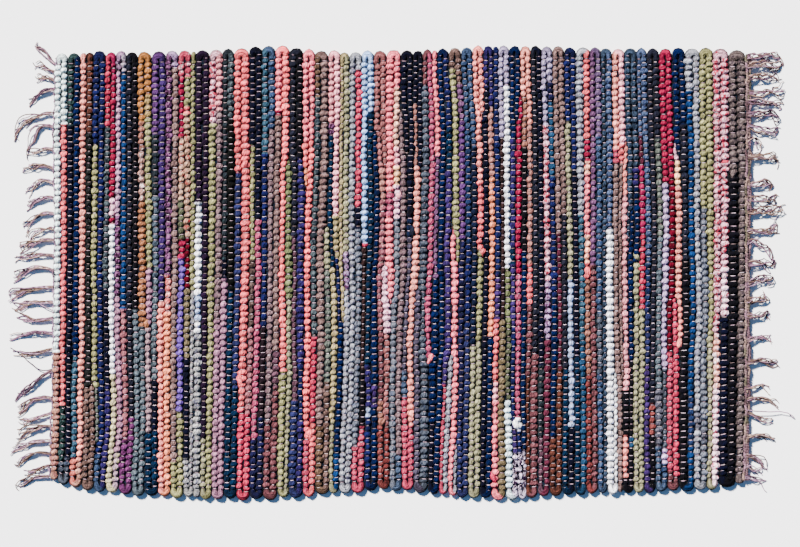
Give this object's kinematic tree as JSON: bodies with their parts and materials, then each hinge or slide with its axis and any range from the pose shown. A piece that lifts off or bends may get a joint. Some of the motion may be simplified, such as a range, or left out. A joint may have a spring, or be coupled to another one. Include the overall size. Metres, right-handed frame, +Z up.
{
  "type": "woven rag rug with fringed ends",
  "caption": "Rectangular hand-woven rag rug that lies flat, ribbed across its width by bead-like rows of many-coloured cut rags, with tufts of warp yarn at both short ends.",
  "frame": {"origin": "middle of the underside's bounding rectangle, fringes included, on the floor", "axes": "+X along the rug's length towards the right-hand fringe, +Y across it along the rows of rag, +Z up"},
  "size_m": [1.0388, 0.6096, 0.0084],
  "materials": {
    "rag_weave": "cut cotton and jersey rags in many colours, beaten into bead-like rows by a pale cotton warp",
    "warp_yarn": "fine twisted cotton yarn in mauve, taupe and beige, frayed at the tips"
  },
  "bodies": {
    "root": {"mat": "rag_weave", "fringe_left": "warp_yarn", "fringe_right": "warp_yarn"}
  },
  "joints": []
}
